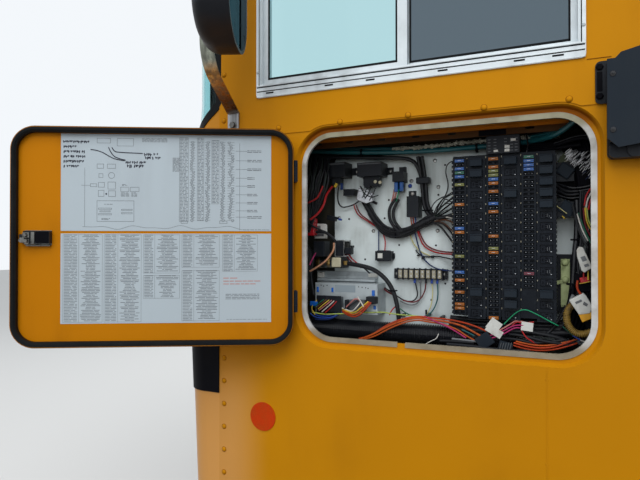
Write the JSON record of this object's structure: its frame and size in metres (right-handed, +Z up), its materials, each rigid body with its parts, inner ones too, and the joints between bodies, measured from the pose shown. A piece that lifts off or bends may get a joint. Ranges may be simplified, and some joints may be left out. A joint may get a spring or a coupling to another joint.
{
  "type": "school bus front side wall with electrical bay",
  "caption": "Yellow school bus side wall section with an open electrical bay and its hinged access door, a sliding window, corner glass, mirror and stop arm.",
  "frame": {"origin": "middle of the bolt pattern in the sill rail's bottom flange", "axes": "+X rearward along the bus, +Y into the bus, +Z up"},
  "size_m": [1.6935, 0.5283, 1.752],
  "materials": {
    "aluminium": "weathered mill-finish aluminium",
    "black_plastic": "black moulded plastic",
    "blue_plastic": "clear blue plastic",
    "box_paint": "dark undersealed steel inside the bay, dusty",
    "bronze_paint": "dark brown enamel, weathered and rusty at its edges",
    "copper": "dull copper bar with pale green corrosion",
    "cream_plastic": "cream plastic",
    "dark_paint": "dark grey semi-gloss enamel",
    "glass": "tinted safety glass",
    "green_plastic": "clear green plastic",
    "grey_plastic": "grey moulded plastic",
    "label": "pale grey-blue printed vinyl",
    "mirror": "silvered mirror glass",
    "plate_paint": "pale blue-grey enamel, dusty",
    "primer": "grey primer on pressed steel",
    "red_plastic": "clear red plastic",
    "red_sheet": "red reflective sheeting on steel, white edge",
    "reflector": "red-orange reflex plastic, chipped",
    "rubber": "black rubber, greyed",
    "steel": "zinc plated steel",
    "tan_plastic": "clear tan plastic",
    "teal_plastic": "teal nylon air hose",
    "trim_vinyl": "cream vinyl moulding, dirty",
    "white_plastic": "natural white nylon",
    "yellow_paint": "glossy school bus yellow enamel, aged, with road dust",
    "yellow_plastic": "clear yellow plastic"
  },
  "bodies": {
    "wall": {"air_hoses": "teal_plastic", "battery_cable": "rubber", "bay_back_plate": "plate_paint", "bay_box": "box_paint", "bay_ceiling": "yellow_paint", "bay_trim": "trim_vinyl", "board_plugs": "black_plastic", "board_relays": "black_plastic", "bus_bar": "copper", "bus_bar_base": "black_plastic", "buzzer": "black_plastic", "conduit": "black_plastic", "control_module": "aluminium", "corner_garnish": "dark_paint", "corner_gasket": "rubber", "corner_panel": "yellow_paint", "cross_loom": "black_plastic", "flasher_relays": "black_plastic", "fuse_board": "black_plastic", "fuses_blue": "blue_plastic", "fuses_green": "green_plastic", "fuses_red": "red_plastic", "fuses_tan": "tan_plastic", "fuses_yellow": "yellow_plastic", "hinge_body_leaves": "dark_paint", "line_clips": "black_plastic", "lower_side_panel": "yellow_paint", "main_loom": "black_plastic", "mirror_arms": "bronze_paint", "mirror_glass": "mirror", "mirror_head": "black_plastic", "module_plugs": "grey_plastic", "red_plug": "red_plastic", "reflector": "reflector", "relay_bracket": "steel", "relay_plug": "blue_plastic", "side_cable": "rubber", "sill_rail": "primer", "small_relays": "black_plastic", "solenoid": "steel", "stop_arm_base": "black_plastic", "terminal_posts": "cream_plastic", "terminal_strip": "black_plastic", "upper_side_panel": "yellow_paint", "wall_posts": "primer", "wall_rails": "primer", "white_plugs": "white_plastic", "window_frame": "aluminium", "window_glass": "glass", "window_sashes": "aluminium"},
    "access_door": {"door_pan": "yellow_paint", "door_seal": "rubber", "door_labels": "label", "door_latch": "black_plastic", "door_pull": "black_plastic", "hinge_door_leaves": "dark_paint"},
    "stop_arm": {"stop_arm_guard": "dark_paint", "stop_arm_blade": "red_sheet"}
  },
  "joints": [
    {"name": "access_door_hinge", "type": "hinge", "parent": "wall", "child": "access_door", "pos_m": [-0.304, -0.052, 0.7085], "axis": [0, 0, 1], "range_deg": [-18, 152]},
    {"name": "stop_arm_swing", "type": "hinge", "parent": "wall", "child": "stop_arm", "pos_m": [0.326, -0.066, 0.938], "axis": [0, 0, 1], "range_deg": [-90, 0]}
  ]
}
